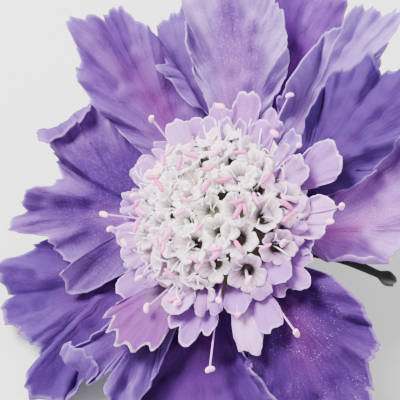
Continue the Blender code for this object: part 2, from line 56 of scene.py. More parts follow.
# Each petal: its layer, the azimuth of its claw, the claw's width, its rise from the petal plane in
# degrees, how far the tip bows up, and its margin as (azimuth, reach) from one side of the claw
# round to the other.  A curl is (place along the margin, half width, angle, length).  A flap is the
# part beyond a line between two (azimuth, reach) points; it turns over by (radius, angle).
PETALS = {
    "petal_01_right": dict(
        layer="back", root=34, claw=3.2, rise=4, bow=0.5, pleats=3, wave=1.5,
        margin=[(19, 12.5), (15, 16), (15, 20), (20, 24), (29, 26.5), (36, 31.5), (42, 36),
                (48, 37.5), (55, 36.5), (61, 33), (66, 27), (63, 19), (52, 12.5)],
        flap=((17, 15), (24, 24), 0.8, 140)),
    "petal_02_upper_right": dict(
        layer="front", root=66, claw=3.4, rise=12, bow=0.5, pleats=4, wave=1.4,
        margin=[(50, 12.5), (48, 17), (50, 21), (55, 25.5), (59, 31), (64, 35.5), (70, 36), (74, 33),
                (79, 31), (83, 30.5), (85, 28), (88, 28), (90, 25.5), (87, 21.5), (84, 17), (79, 12.5)],
        curls=[(0.84, 0.13, 70, 4.0)]),
    "petal_03_top_right": dict(
        layer="middle", root=90, claw=2.6, rise=8, bow=1.5, pleats=3, wave=1.7,
        margin=[(78, 12.5), (80, 18), (81, 24), (82, 29.5), (81, 34), (84, 37.5), (90, 37), (94, 34.5),
                (95, 32), (98, 30.5), (99, 27.5), (101, 24.5), (102, 19), (104, 13.5)],
        curls=[(0.80, 0.18, 150, 5.5)]),
    "petal_04_top": dict(
        layer="back", root=110, claw=2.8, rise=4, bow=0.5, pleats=3, wave=1.4,
        margin=[(97, 12.5), (96, 19), (97, 27), (97, 33), (101, 37), (107, 36), (113, 35.5), (119, 34),
                (123, 29), (124, 21), (124, 13)]),
    "petal_05_top_fan": dict(
        layer="front", root=122, claw=3.2, rise=14, bow=1.0, pleats=4, wave=1.7,
        margin=[(106, 12.5), (104, 18), (104.5, 24), (107, 28), (112, 31), (117, 35), (123, 38),
                (130, 37), (137, 33), (141, 28), (141, 23.5), (138, 18.5), (136, 13)],
        flap=((138, 31), (135, 17), 0.8, 130)),
    "petal_06_top_left_small": dict(
        layer="back", root=143, claw=2.6, rise=4, bow=0.0, pleats=2, wave=1.2,
        margin=[(130, 12.5), (130, 19), (132, 27), (137, 33), (143, 34.5), (149, 33), (154, 29.5),
                (157, 22), (157, 13)]),
    "petal_07_upper_left": dict(
        layer="front", root=160, claw=3.2, rise=13, bow=0.0, pleats=4, wave=1.7,
        margin=[(142, 12.5), (137, 16), (135, 20), (138, 24), (144, 28), (149, 31), (153, 34.5),
                (159, 37.5), (165, 37), (170, 33.5), (174, 30), (176, 26), (177, 20), (178, 13)],
        flap=((150, 30), (142, 17), 0.8, 150)),
    "petal_08_left": dict(
        layer="middle", root=206, claw=3.6, rise=9, bow=0.0, pleats=5, wave=1.7,
        margin=[(178, 12.5), (170, 17), (169, 23), (174, 29), (180, 32), (186, 34.5), (192, 31.5),
                (197, 27.5), (202, 27), (208, 31), (213, 33), (218, 31.5), (219.5, 28), (224.5, 25.5),
                (230, 24), (235, 25.5), (240, 24.5), (242, 20.5), (241, 15.5), (236, 12.5)],
        flap=((176, 27), (192, 31), 0.9, 150)),
    "petal_09_lower_left": dict(
        layer="back", root=240, claw=3.4, rise=3, bow=0.2, pleats=4, wave=1.5,
        margin=[(220, 12.5), (216, 18), (217, 25), (221, 31), (226, 35), (232, 36.5), (239, 36),
                (245, 34.5), (248, 32.5), (251, 35), (256, 37), (262, 36.5), (265, 31), (264, 23),
                (259, 13)]),
    "petal_10_bottom_small": dict(
        layer="front", root=270, claw=2.8, rise=11, bow=0.0, pleats=3, wave=1.5,
        margin=[(254, 12.5), (257, 18), (260, 22), (259, 25.5), (258, 29), (260, 33), (266, 34),
                (271, 30.5), (273, 26.5), (276, 29), (281, 31), (285, 28), (286, 21), (285, 13)],
        flap=((256, 28.5), (271, 28.5), 1.0, 150)),
    "petal_11_bottom": dict(
        layer="back", root=297, claw=3.4, rise=3, bow=-1.2, pleats=4, wave=1.5,
        margin=[(277, 12.5), (273, 18), (275, 25), (279, 31), (284, 35.5), (291, 37), (298, 36),
                (304, 37), (311, 36.5), (318, 33), (324, 27), (323, 19), (315, 12.5)]),
    "petal_12_lower_right": dict(
        layer="front", root=344, claw=3.6, rise=9, bow=0.5, pleats=5, wave=1.7,
        margin=[(324, 12.5), (318, 18), (317, 24), (320, 30), (326, 35), (333, 38), (340, 37.5),
                (347, 35), (353, 32.5), (359, 29.5), (364, 26), (368, 21.5), (370, 17), (366, 12.5)],
        flap=((321, 19), (328, 32), 0.9, 150)),
}


def polar(azimuth, reach):
    """Points of the petal plane from their azimuths in degrees and their reaches in millimetres."""
    angle = np.radians(azimuth)
    return np.stack([reach * np.cos(angle), reach * np.sin(angle)], -1)


def directions(azimuth):
    """Outward and sideways in the petal plane at an azimuth."""
    outward = polar(azimuth, 1.0)
    return outward, np.array([-outward[1], outward[0]])


def smooth_step(low, high, value):
    share = np.clip((value - low) / (high - low), 0.0, 1.0)
    return share * share * (3.0 - 2.0 * share)


def ripple(distance, length, phases):
    """An uneven wave: three sines whose lengths don't divide one another."""
    turn = 2 * math.pi * distance / length
    return (np.sin(turn + phases[0]) + 0.7 * np.sin(1.61 * turn + phases[1])
            + 0.5 * np.sin(2.73 * turn + phases[2])) / 2.2


class Margin:
    """The outer edge of a blade, a smooth curve through its margin points, by length."""

    def __init__(self, margin):
        azimuths, reaches = np.array(margin, float).T
        self.points = polar(azimuths, reaches)
        steps = np.linalg.norm(np.diff(self.points, axis=0), axis=1)
        self.lengths = np.concatenate([[0.0], np.cumsum(steps)])

    def at(self, share):
        distance = share * self.lengths[-1]
        last = len(self.points) - 1
        index = np.minimum(np.searchsorted(self.lengths[1:], distance), last - 1)
        step = self.lengths[index + 1] - self.lengths[index]
        t = ((distance - self.lengths[index]) / step)[..., None]
        before = self.points[np.maximum(index - 1, 0)]
        start = self.points[index]
        end = self.points[index + 1]
        after = self.points[np.minimum(index + 2, last)]
        return 0.5 * (2 * start + (end - before) * t + (2 * before - 5 * start + 4 * end - after) * t ** 2
                      + (3 * start - before - 3 * end + after) * t ** 3)


class Petal:
    """A petal's middle surface.  u runs from the claw to the margin and v along the margin."""

    # Folds of the blade: their lengths along the margin and their heights.
    PLEAT_HEIGHT = 0.6
    WAVE_LENGTH = 11.0
    SHORT_WAVE_LENGTH = 6.6
    FRILL_LENGTH = 5.6
    FRILL_HEIGHT = 0.75
    EDGE_FRILL_LENGTH = 1.9
    EDGE_FRILL_HEIGHT = 0.22
    CREASES = 60.0
    CREASE_LENGTH = 3.4
    CREASE_HEIGHT = 0.05
    CRUMPLE_HEIGHT = 1.1
    # The outline: scallops and two sizes of teeth, whose depths are shares of the reach.
    SCALLOP_LENGTH = 7.5
    SCALLOP_DEPTH = 0.02
    TOOTH_LENGTH = 2.9
    TOOTH_DEPTH = 0.017
    FINE_TOOTH_LENGTH = 1.3
    FINE_TOOTH_DEPTH = 0.0102
    # A flap's fold line wavers a little, and turns in towards the middle of the petal.
    FLAP_WAVER = 0.3
    FLAP_WAVER_LENGTH = 9.0
    MIDDLE_REACH = 18.0
    SHORTEST_REACH = 3.0
    LEAST_TURN = 0.02
    LONGEST_CURL = 0.9

    def __init__(self, layer, root, claw, rise, bow, pleats, wave, margin, seed, curls=(), flap=None):
        self.margin = Margin(margin)
        self.flap = flap
        self.length = self.margin.lengths[-1]
        self.outward, self.sideways = directions(root)
        self.claw = claw
        self.base_height = LAYER_HEIGHT[layer]
        self.slope = math.tan(math.radians(rise))
        self.bow = bow
        self.pleats = pleats
        self.wave = wave
        self.curls = curls
        draw = random.Random(seed)
        self.phases = [draw.uniform(0.0, 2.0 * math.pi) for _ in range(3)]
        self.fine_phases = [draw.uniform(0.0, 2.0 * math.pi) for _ in range(12)]

    def flat(self, u, v):
        """Where points lie in the petal plane before any curl: veins that fan to the margin."""
        start = self.outward * CLAW_REACH + self.sideways * ((v - 0.5) * self.claw)[..., None]
        along = v * self.length
        teeth = self.SCALLOP_DEPTH * np.sin(2 * math.pi * along / self.SCALLOP_LENGTH + self.phases[0])
        teeth = teeth + self.TOOTH_DEPTH * ripple(along, self.TOOTH_LENGTH, self.fine_phases[0:3])
        teeth = teeth + self.FINE_TOOTH_DEPTH * ripple(along, self.FINE_TOOTH_LENGTH, self.fine_phases[3:6])
        end = self.margin.at(v) * (1.0 + teeth)[..., None]
        ahead = np.maximum((end - start) @ self.outward, self.SHORTEST_REACH)[..., None]
        knee = start + self.outward * ahead * 0.5
        u = u[..., None]
        return start * (1 - u) ** 2 + knee * 2 * u * (1 - u) + end * u ** 2

    def folds(self, u, v, place):
        """How far the pleats and ruffles lift the blade off its smooth cone."""
        along = v * self.length
        sides = np.minimum(1.0, 5.0 * np.minimum(v, 1.0 - v))
        pleats = self.PLEAT_HEIGHT * sides * u ** 1.3 * np.sin(2 * math.pi * self.pleats * v + self.phases[0])
        ruffle = 0.65 * np.sin(2 * math.pi * along / self.WAVE_LENGTH + self.phases[1])
        ruffle = ruffle + 0.35 * np.sin(2 * math.pi * along / self.SHORT_WAVE_LENGTH + self.phases[2])
        frill = ripple(along + 2.5 * u, self.FRILL_LENGTH, self.fine_phases[6:9])
        edge_frill = ripple(along, self.EDGE_FRILL_LENGTH, self.fine_phases[9:12])
        creases = ripple(v * self.CREASES + 3.0 * u, self.CREASE_LENGTH, self.fine_phases[3:6])
        crumple = ripple(place[..., 0] + 0.4 * place[..., 1], 9.0, self.fine_phases[0:3])
        crumple = crumple * ripple(place[..., 1] - 0.3 * place[..., 0], 8.0, self.fine_phases[5:8])
        return (pleats + self.wave * sides * smooth_step(0.5, 1.0, u) * ruffle
                + self.FRILL_HEIGHT * sides * smooth_step(0.66, 1.0, u) * frill
                + self.EDGE_FRILL_HEIGHT * sides * smooth_step(0.8, 1.0, u) * edge_frill
                + self.CREASE_HEIGHT * sides * u * creases
                + self.CRUMPLE_HEIGHT * sides * smooth_step(0.15, 0.6, u) * crumple)

    def height(self, u, v, place):
        reach = np.linalg.norm(place, axis=-1)
        out = (reach - CLAW_REACH) / PETAL_SPAN
        cone = self.base_height + self.slope * (reach - CLAW_REACH) + self.bow * out ** 2
        return cone + self.folds(u, v, place)

    def turned_over(self, place, first, last, radius, angle):
        """The places of a flap beyond the line from first to last, and how far it rises."""
        start = polar(*first)
        line = polar(*last) - start
        line = line / np.linalg.norm(line)
        inward = np.array([-line[1], line[0]])
        inward = inward * np.sign((self.outward * self.MIDDLE_REACH - start) @ inward)
        waver = self.FLAP_WAVER * ripple((place - start) @ line, self.FLAP_WAVER_LENGTH, self.phases)
        past = np.maximum((start - place) @ inward + waver, 0.0)
        turn = math.radians(angle)
        bent = np.minimum(past / radius, turn)
        straight = past - radius * bent
        out = radius * np.sin(bent) + straight * math.cos(turn)
        raised = radius * (1.0 - np.cos(bent)) + straight * math.sin(turn)
        return place + (past - out)[..., None] * inward, raised

    def surface(self, u, v):
        place = self.flat(u, v)
        lift = np.zeros_like(u)
        for middle, half_width, angle, length in self.curls:
            window = smooth_step(0.0, 1.0, 1.0 - np.abs(v - middle) / half_width)
            turn = np.maximum(math.radians(angle) * window, 1e-6)
            margin = self.margin.at(v)
            span = np.linalg.norm(margin - self.flat(np.zeros_like(u), v), axis=-1)
            start_u = 1.0 - np.minimum(length / span, self.LONGEST_CURL)
            start = self.flat(start_u, v)
            ahead = margin - start
            ahead = ahead / np.linalg.norm(ahead, axis=-1)[..., None]
            bent = turn * (u - start_u) / (1.0 - start_u)
            radius = length / turn
            rolled = (turn >= self.LEAST_TURN) & (u > start_u)
            place = np.where(rolled[..., None], start + ahead * (radius * np.sin(bent))[..., None], place)
            lift = np.where(rolled, radius * (1.0 - np.cos(bent)), lift)
        if self.flap:
            place, raised = self.turned_over(place, *self.flap)
            lift = lift + raised
        crest = np.clip(0.5 + 0.3 * self.folds(u, v, place), 0.0, 1.0)
        return np.concatenate([place, (self.height(u, v, place) + lift)[..., None]], -1), crest


def blade(name, surface, columns, rows, thickness, closed=False):
    """A thin blade: a grid whose points are moved onto a surface, then thickened on both sides."""
    bpy.ops.mesh.primitive_grid_add(x_subdivisions=columns, y_subdivisions=rows, size=1)
    thing = bpy.context.active_object
    thing.name = thing.data.name = name
    points = np.empty(3 * len(thing.data.vertices))
    thing.data.vertices.foreach_get("co", points)
    points = points.reshape(-1, 3) + 0.5
    places, crest = surface(points[:, 1], points[:, 0])
    thing.data.vertices.foreach_set("co", places.ravel())
    thing.data.attributes.new("crest", "FLOAT", "POINT").data.foreach_set("value", crest)
    bpy.ops.object.mode_set(mode="EDIT")
    bpy.ops.mesh.select_all(action="SELECT")
    if closed:
        bpy.ops.mesh.remove_doubles(threshold=0.0001)
    bpy.ops.mesh.flip_normals()
    bpy.ops.object.mode_set(mode="OBJECT")
    solidify = thing.modifiers.new("Thickness", "SOLIDIFY")
    solidify.thickness = thickness
    solidify.offset = 0.0
    bpy.ops.object.modifier_apply(modifier=solidify.name)
    bpy.ops.object.shade_smooth()
    return thing


REST_DEPTH = 0.5 * MM


def settle(thing):
    """Carries a piece of the head to its place; what would dip under the floor comes to rest on it."""
    thing.data.transform(HEAD)
    points = np.empty(3 * len(thing.data.vertices))
    thing.data.vertices.foreach_get("co", points)
    heights = points[2::3]
    resting = REST_DEPTH * np.exp(np.minimum(heights / REST_DEPTH, 1.0) - 1.0)
    points[2::3] = np.where(heights < REST_DEPTH, resting, heights)
    thing.data.vertices.foreach_set("co", points)
    thing.data.update()


class Wire:
    """An output of a shader node.  Arithmetic on wires adds Math nodes."""

    def __init__(self, finish, socket):
        self.finish = finish
        self.socket = socket

    def output(self, name):
        return Wire(self.finish, self.socket.node.outputs[name])

    def math(self, operation, first, second):
        return self.finish.node("Math", {"operation": operation}, {0: first, 1: second})

    def __add__(self, other):
        return self.math("ADD", self, other)

    def __sub__(self, other):
        return self.math("SUBTRACT", self, other)

    def __rsub__(self, other):
        return self.math("SUBTRACT", other, self)

    def __mul__(self, other):
        return self.math("MULTIPLY", self, other)

    def __pow__(self, other):
        return self.math("POWER", self, other)

    __radd__ = __add__
    __rmul__ = __mul__


class Finish:
    """A material and its shader.  Numbers, colours and wires may feed any socket."""

    def __init__(self, name, constants):
        self.material = bpy.data.materials.new(name)
        self.material.use_nodes = True
        self.tree = self.material.node_tree
        self.shader = self.tree.nodes["Principled BSDF"]
        self.coat(constants)

    def coat(self, values):
        for name, value in values.items():
            self.feed(self.shader.inputs[name], value)

    def feed(self, socket, value):
        if isinstance(value, Wire):
            self.tree.links.new(value.socket, socket)
        else:
            socket.default_value = value

    def node(self, kind, settings=(), inputs=(), output=0):
        node = self.tree.nodes.new("ShaderNode" + kind)
        for name, value in dict(settings).items():
            setattr(node, name, value)
        for name, value in dict(inputs).items():
            self.feed(node.inputs[name], value)
        return Wire(self, node.outputs[output])

    def mix(self, share, first, second):
        return self.node("Mix", {"data_type": "RGBA"}, {0: share, 6: first, 7: second}, 2)

    def step(self, value, low, high):
        inputs = {0: value, 1: low, 2: high}
        return self.node("MapRange", {"interpolation_type": "SMOOTHSTEP"}, inputs)

    def lines(self, value, width):
        """Thin lines at every whole number of a value, each fading out over a width."""
        fold = self.node("Math", {"operation": "PINGPONG"}, {0: value, 1: 0.5})
        return 1 - self.step(fold, 0.0, width)

    def noise(self, grain, detail=2.0, roughness=0.5):
        """Noise from 0 to 1 whose grain is given in millimetres."""
        place = self.node("TexCoord", output="Object")
        return self.node("TexNoise", {}, {"Vector": place, "Scale": 1.0 / (grain * MM), "Detail": detail,
                                          "Roughness": roughness})

    def mapped(self):
        """Across and along the blade, from its UV map."""
        across = self.node("SeparateXYZ", {}, {0: self.node("UVMap", {"uv_map": "UVMap"})}, "X")
        return across, across.output("Y")

    def attribute(self, name, output="Fac"):
        return self.node("Attribute", {"attribute_name": name}, {}, output)

    def made(self, colour, height, distance, strength=1.0):
        """The finished material: coloured, and with a relief that is given in millimetres."""
        bump = {"Height": height, "Distance": distance * MM, "Strength": strength}
        self.coat({"Base Color": colour, "Normal": self.node("Bump", {}, bump)})
        return self.material


def rgb(red, green, blue):
    """A colour as the eye sees it, from 0 to 255, as the shader wants it."""
    linear = [(value / 255 / 12.92) if value < 10.3 else ((value / 255 + 0.055) / 1.055) ** 2.4
              for value in (red, green, blue)]
    return (*linear, 1.0)


VELVET = {"Roughness": 0.75, "Specular IOR Level": 0.04, "Subsurface Weight": 0.2,
          "Subsurface Scale": 0.0012, "Subsurface Radius": (0.8, 0.4, 1.0)}
MAIN_VEINS = 13
FINE_VEINS = 47


def petal_finish(name, deep, middle, pale, blush, blush_place, veining=0.25, painted_glints=0.0):
    """Velvet violet: painted shade deep in the folds and painted highlight on the crests, pale at the margin,
    veined, with a magenta patch.
    """
    finish = Finish(name, VELVET)
    across, along = finish.mapped()
    crest = finish.attribute("crest")
    cloud = finish.noise(9.0, 3.0)
    # Painted shade: the valleys of the folds take the deep tone and the crests the middle one.
    colour = finish.mix(finish.step(crest + 1.1 * (cloud - 0.5), 0.18, 0.82), deep, middle)
    reach = finish.step(along + 0.4 * (cloud - 0.5), 0.62, 1.05)
    # Paler towards the margin, and more so on the crests, where the pale is painted highlight.
    colour = finish.mix(reach * (0.3 + 0.7 * crest), colour, pale)
    away = ((across - blush_place[0]) ** 2 + 0.6 * (along - blush_place[1]) ** 2) ** 0.5
    colour = finish.mix(0.85 * (1 - finish.step(away + 0.2 * (cloud - 0.5), 0.03, 0.32)), colour, blush)
    wander = finish.noise(4.0, 3.0) - 0.5
    veins = finish.lines(MAIN_VEINS * across + 1.6 * wander, 0.12) * (1 - 0.6 * along)
    fine_veins = finish.lines(FINE_VEINS * across + 3.2 * wander, 0.3)
    veins = veins + 0.5 * fine_veins * finish.step(along, 0.2, 0.6)
    colour = finish.mix(veining * veins, colour, (*(0.5 * value for value in deep[:3]), 1.0))
    colour = finish.mix(0.3 * finish.step(along, 0.97, 0.995), colour, rgb(164, 132, 200))
    grain = finish.noise(0.3, 3.0, 0.7)
    colour = finish.mix(0.26 * finish.step(grain, 0.5, 0.7), colour, pale)
    colour = finish.mix(0.3 * (1 - finish.step(grain, 0.34, 0.5)), colour, deep)
    # Painted glints: tiny white dots that stand in for light glinting off the papillae.
    if painted_glints:
        glint_dots = finish.step(finish.noise(0.16, 0.0), 0.73, 0.82)
        glint_dots = glint_dots * finish.step(finish.noise(5.0, 1.0), 0.4, 0.6)
        colour = finish.mix(painted_glints * glint_dots, colour, rgb(255, 250, 255))
    relief = 0.5 * grain - 0.4 * veins + 0.8 * finish.noise(0.9, 2.0)
    return finish.made(colour, relief, 0.10, 0.9)


# Colours of each petal: the painted shade of its folds, body, margin, the magenta patch and its place
# (across, along), and for two of them how strong their veins are and how strong their painted glints are.
# The tones differ partly in the petals' own colour and partly as painted light: petals that the lamps leave
# in shade, such as petal_01, get lighter tones, and petals that lie in shade, such as petal_12, darker ones.
TONES = {
    "petal_01_right": (
        rgb(116, 70, 144), rgb(148, 94, 168), rgb(164, 122, 194), rgb(138, 62, 140), (0.35, 0.35), 0.25, 0.4),
    "petal_02_upper_right": (
        rgb(62, 36, 94), rgb(62, 34, 92), rgb(70, 43, 107), rgb(80, 44, 106), (0.35, 0.2)),
    "petal_03_top_right": (
        rgb(108, 72, 142), rgb(130, 94, 164), rgb(138, 108, 178), rgb(130, 82, 156), (0.5, 0.3)),
    "petal_04_top": (
        rgb(64, 27, 92), rgb(86, 37, 114), rgb(98, 56, 132), rgb(94, 38, 112), (0.4, 0.4)),
    "petal_05_top_fan": (
        rgb(82, 46, 112), rgb(114, 71, 142), rgb(160, 126, 196), rgb(120, 62, 136), (0.55, 0.3)),
    "petal_06_top_left_small": (
        rgb(62, 36, 92), rgb(80, 49, 112), rgb(98, 68, 134), rgb(82, 47, 112), (0.5, 0.3)),
    "petal_07_upper_left": (
        rgb(64, 28, 90), rgb(96, 56, 120), rgb(94, 61, 132), rgb(88, 32, 96), (0.45, 0.38)),
    "petal_08_left": (
        rgb(46, 21, 74), rgb(58, 28, 88), rgb(118, 78, 150), rgb(106, 60, 130), (0.78, 0.35)),
    "petal_09_lower_left": (
        rgb(47, 22, 78), rgb(64, 34, 93), rgb(80, 51, 120), rgb(74, 35, 100), (0.5, 0.4)),
    "petal_10_bottom_small": (
        rgb(60, 34, 90), rgb(80, 46, 111), rgb(110, 74, 150), rgb(92, 48, 118), (0.5, 0.3)),
    "petal_11_bottom": (
        rgb(56, 26, 86), rgb(62, 28, 90), rgb(76, 43, 112), rgb(74, 31, 96), (0.5, 0.4)),
    "petal_12_lower_right": (
        rgb(42, 16, 68), rgb(54, 22, 78), rgb(76, 43, 108), rgb(76, 28, 88), (0.55, 0.35), 0.45, 0.2),
}
FIRST_SEED = 20

for seed, (name, values) in enumerate(PETALS.items(), FIRST_SEED):
    petal = Petal(**values, seed=seed)
    piece = blade("ruffled_" + name, petal.surface, PETAL_COLUMNS, PETAL_ROWS, PETAL_THICKNESS)
    settle(piece)
    piece.data.materials.append(petal_finish(name.replace("petal", "violet"), *TONES[name]))
    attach(piece, "root")
    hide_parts(name)

# Core of the disc.  A low green dome on a neck, in which every floret is rooted.  Only its dark,
# mossy skin shows, between the florets.
DOME_BASE = 4.0
DOME_RADIUS = 13.0
DOME_RISE = 7.5
CORE_INSET = 1.7
NECK_WIDTH = 0.8
NECK_DEPTH = 4.0


def dome_point(angle, azimuth, lift=0.0):
    """A point over the dome from its angle to the pole and its azimuth, both in radians."""
    return np.array([(DOME_RADIUS + lift) * math.sin(angle) * math.cos(azimuth),
                     (DOME_RADIUS + lift) * math.sin(angle) * math.sin(azimuth),
                     DOME_BASE + (DOME_RISE + lift) * math.cos(angle)])


def dome_normal(angle, azimuth):
    place = dome_point(angle, azimuth)
    slopes = np.array([place[0] / DOME_RADIUS ** 2, place[1] / DOME_RADIUS ** 2,
                       (place[2] - DOME_BASE) / DOME_RISE ** 2])
    return slopes / np.linalg.norm(slopes)


bpy.ops.mesh.primitive_uv_sphere_add(segments=48, ring_count=24, radius=1)
core = bpy.context.active_object
core.name = core.data.name = "disc_core"
for vertex in core.data.vertices:
    width, height = DOME_RADIUS - CORE_INSET, DOME_RISE - CORE_INSET
    if vertex.co.z < 0.0:
        width, height = width * NECK_WIDTH, NECK_DEPTH
    vertex.co *= Vector((width, width, height))
    vertex.co.z += DOME_BASE
bpy.ops.object.shade_smooth()
settle(core)
moss = Finish("core_moss", {"Roughness": 0.85})
shade = moss.noise(0.8, 3.0)
moss_colour = moss.mix(shade, rgb(62, 60, 42), rgb(122, 116, 90))
core.data.materials.append(moss.made(moss_colour, shade, 0.4))
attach(core, "root")
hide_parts("disc_florets")

# Inner florets.  Over fifty cream funnels stand on the dome, the outer and closed ones by the golden
# angle.  Each has five uneven rounded lobes round a throat painted grey-green and dark as shade; six sorts
# are modelled and copied.
LOBES = 5
FOOT_RADIUS = 0.3
FUNNEL_DEPTH = 3.7
FUNNEL_COLUMNS = 60
FUNNEL_ROWS = 13
FLORET_THICKNESS = 0.09
FLORET_COUNT = 64
FLORET_EDGE = math.radians(64)
BRIGHT_SIDE = math.radians(165)
GOLDEN_ANGLE = math.radians(137.508)
florets_draw = random.Random(7)


def dome_angles(count, edge):
    """Angles from the dome's pole that share its surface evenly among the florets."""
    angles = np.linspace(0.0, edge, 400)
    slants = np.hypot(DOME_RADIUS * np.cos(angles), DOME_RISE * np.sin(angles))
    areas = np.cumsum(np.sin(angles) * slants)
    return np.interp((np.arange(count) + 0.5) / count * areas[-1], areas, angles)


def funnel(name, seed, mouth):
    """A floret about its own axis, its mouth at zero height and its foot near four millimetres down."""
    draw = random.Random(seed)
    sizes = np.array([draw.uniform(0.55, 1.1) for _ in range(LOBES)])
    sizes[0] += 0.3
    folds = [draw.uniform(0, 2 * math.pi) for _ in range(5)]
    # Lobes that spread less stand up more.
    flare = draw.uniform(0.7, 1.15)
    upright = 1.55 - flare

    def surface(u, v):
        turn = 2 * math.pi * v
        lobe = np.abs(np.cos(0.5 * LOBES * turn))
        size = sizes[np.floor(LOBES * v + 0.5).astype(int) % LOBES]
        limb = smooth_step(0.5, 1.0, u)
        cone = np.minimum(u / 0.7, 1.0)
        frill = 0.6 * np.sin(3 * turn + folds[0]) + 0.4 * np.sin(8 * turn + folds[1])
        radius = FOOT_RADIUS + mouth * cone ** 1.3 + limb * flare * (0.12 + 0.95 * size * lobe ** 0.45)
        radius = radius + 0.14 * limb * np.sin(11 * turn + folds[2]) * lobe
        height = -FUNNEL_DEPTH * (1.0 - cone) ** 1.1 + limb * (0.35 + 0.75 * lobe ** 0.5) * upright
        height = height + 0.34 * limb * frill - 0.5 * smooth_step(0.85, 1.0, u) * size * lobe
        turn = turn + 0.105 * limb * np.sin(2 * turn + folds[3])
        places = np.stack([radius * np.cos(turn), radius * np.sin(turn), height], -1)
        return places, limb * lobe

    return blade(name, surface, FUNNEL_COLUMNS, FUNNEL_ROWS, FLORET_THICKNESS, closed=True)


def aim(direction, place, spin=0.0, size=1.0):
    """The move that stands a piece's +Z along a direction at a place."""
    turn = Vector((0, 0, 1)).rotation_difference(Vector(direction)).to_matrix().to_4x4()
    return Matrix.Translation(Vector(place)) @ turn @ Matrix.Rotation(spin, 4, "Z") @ Matrix.Scale(size, 4)


def tint(thing, tone):
    """Gives every point of a piece one tone of colour, which its finish reads."""
    colours = np.tile(np.array(tone, np.float32), len(thing.data.vertices))
    thing.data.attributes.new("tone", "FLOAT_COLOR", "POINT").data.foreach_set("color", colours)


def added(name, data):
    """A new object of the scene that shows a mesh, a curve, a light or a camera."""
    thing = bpy.data.objects.new(name, data)
    bpy.context.scene.collection.objects.link(thing)
    return thing


def copy_of(template, move, tone):
    """A copy with its own mesh, moved and given its own tone of colour."""
    copy = added(template.name, template.data.copy())
    copy.data.transform(move)
    tint(copy, tone)
    return copy


def join(name, things):
    bpy.ops.object.select_all(action="DESELECT")
    for thing in things:
        thing.select_set(True)
    bpy.context.view_layer.objects.active = things[0]
    bpy.ops.object.join()
    things[0].name = things[0].data.name = name
    return things[0]


def blended(first, second, share):
    return tuple((1 - share) * a + share * b for a, b in zip(first, second))


# A floret's tone holds its colour and, as its fourth number, how dark the painted shade down its throat is.
CREAM = rgb(255, 247, 240)
LILAC = rgb(206, 142, 208)
CLOSE_MOUTH = 0.8
OPEN_MOUTH = 1.55
# The florets that stand wide open towards the eye, as (azimuth, angle to the pole) in degrees.
OPEN_FLORETS = [(355, 30), (29, 38), (341, 19), (318, 36), (31, 22), (293, 23), (340, 51), (9, 55),
                (76, 28), (57, 36), (262, 14), (300, 56)]
OPEN_SPACING = 2.5
# How open and closed florets vary: the unevenness of their lean, their size and lift off the dome.
OPEN_STANCE = (0.1, (0.82, 1.0), (0.7, 1.1))
CLOSE_STANCE = (0.22, (0.85, 1.15), (-0.5, 0.4))
AZIMUTH_WAVER = 0.1
SORTS_OF_EACH = 3
mouths = SORTS_OF_EACH * [CLOSE_MOUTH] + SORTS_OF_EACH * [OPEN_MOUTH]
sorts = [funnel("funnel", seed, mouth) for seed, mouth in enumerate(mouths)]
floret_places = [(math.radians(angle), math.radians(azimuth)) for azimuth, angle in OPEN_FLORETS]
for number, angle in enumerate(dome_angles(FLORET_COUNT, FLORET_EDGE)):
    azimuth = number * GOLDEN_ANGLE + florets_draw.uniform(-AZIMUTH_WAVER, AZIMUTH_WAVER)
    gaps = [np.linalg.norm(dome_point(angle, azimuth) - dome_point(*place))
            for place in floret_places[:len(OPEN_FLORETS)]]
    if min(gaps) > OPEN_SPACING:
        floret_places.append((angle, azimuth))
copies = []
for number, (angle, azimuth) in enumerate(floret_places):
    facing = number < len(OPEN_FLORETS)
    unevenness, sizes, lifts = OPEN_STANCE if facing else CLOSE_STANCE
    lean = dome_normal(angle, azimuth) + np.array(
        [florets_draw.uniform(-unevenness, unevenness) for _ in range(3)])
    size = florets_draw.uniform(*sizes)
    lift = florets_draw.uniform(*lifts)
    move = aim(lean, dome_point(angle, azimuth, lift), florets_draw.uniform(0, 2 * math.pi),
               size * (0.9 + 0.2 * angle / FLORET_EDGE))
    # Outer florets are lilac; on the side away from the light the lilac is stronger, and that part is painted
    # shade.
    shaded = 0.5 - 0.5 * math.cos(azimuth - BRIGHT_SIDE)
    lilac_and_shade_share = smooth_step(0.15, 1.0, angle / FLORET_EDGE) * (0.45 + 0.55 * shaded)
    tone = blended(CREAM, LILAC, lilac_and_shade_share)[:3]
    # Painted shade down the throat: full in the florets that open towards the eye, stronger on the side away
    # from the light.
    dark = 1.0 if facing else 0.2 + 0.8 * smooth_step(0.2, 0.7, shaded + 0.25 * florets_draw.random())
    sort = number % SORTS_OF_EACH + (SORTS_OF_EACH if facing or dark > 0.8 else 0)
    copies.append(copy_of(sorts[sort], move, (*tone, dark)))
for sort in sorts:
    bpy.data.objects.remove(sort)
florets = join("inner_florets", copies)
settle(florets)


